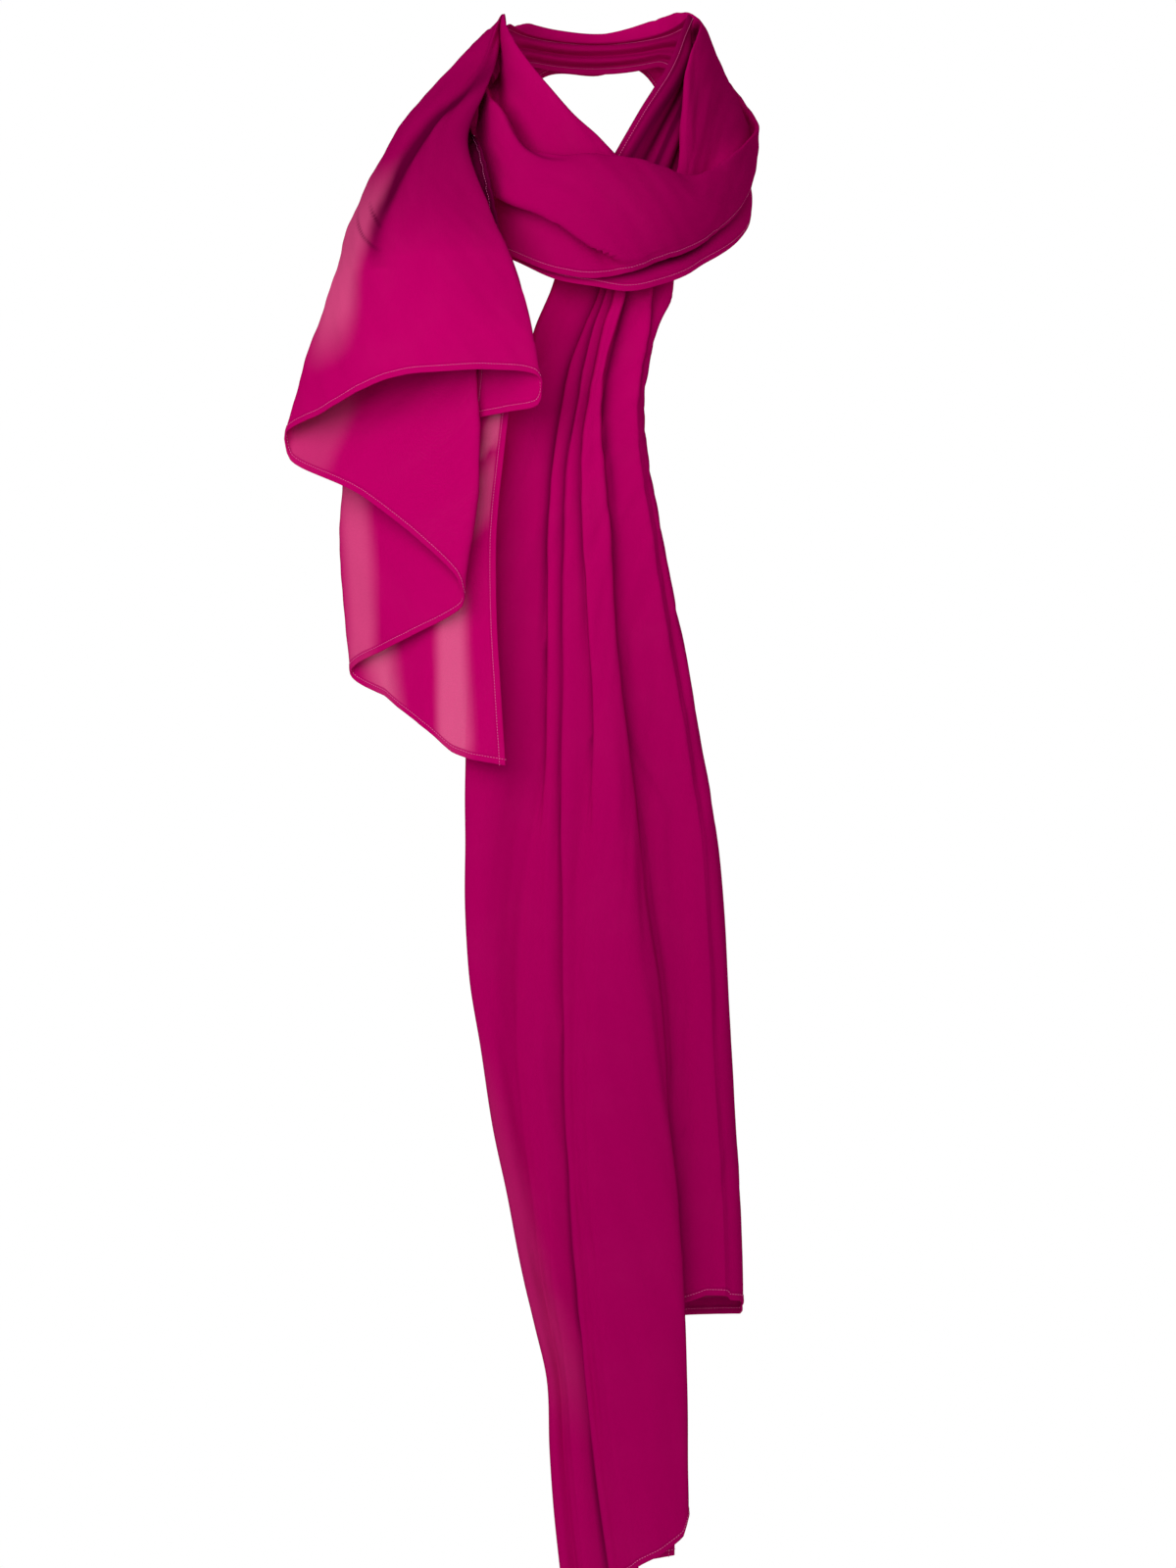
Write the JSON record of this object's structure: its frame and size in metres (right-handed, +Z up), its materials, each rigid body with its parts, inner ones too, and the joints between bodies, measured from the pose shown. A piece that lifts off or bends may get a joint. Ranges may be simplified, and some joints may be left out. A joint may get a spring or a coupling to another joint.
{
  "type": "wound chiffon stole",
  "caption": "Long semi-sheer stole wound once round an empty neck, with a pleated long fall in front and a folded short end over one shoulder.",
  "frame": {"origin": "on the axis of the empty neck hollow at nape height, where a neck carries the stole", "axes": "+Z up, -Y to the wearer's front, +X to the right in the front view"},
  "size_m": [0.3174, 0.2285, 1.0617],
  "materials": {
    "georgette": "matte semi-sheer crepe weave, fuchsia"
  },
  "bodies": {
    "root": {"long_fall": "georgette", "neck_rise": "georgette", "nape_inner": "georgette", "front_loop": "georgette", "nape_outer": "georgette", "shoulder_fall": "georgette"}
  },
  "joints": []
}
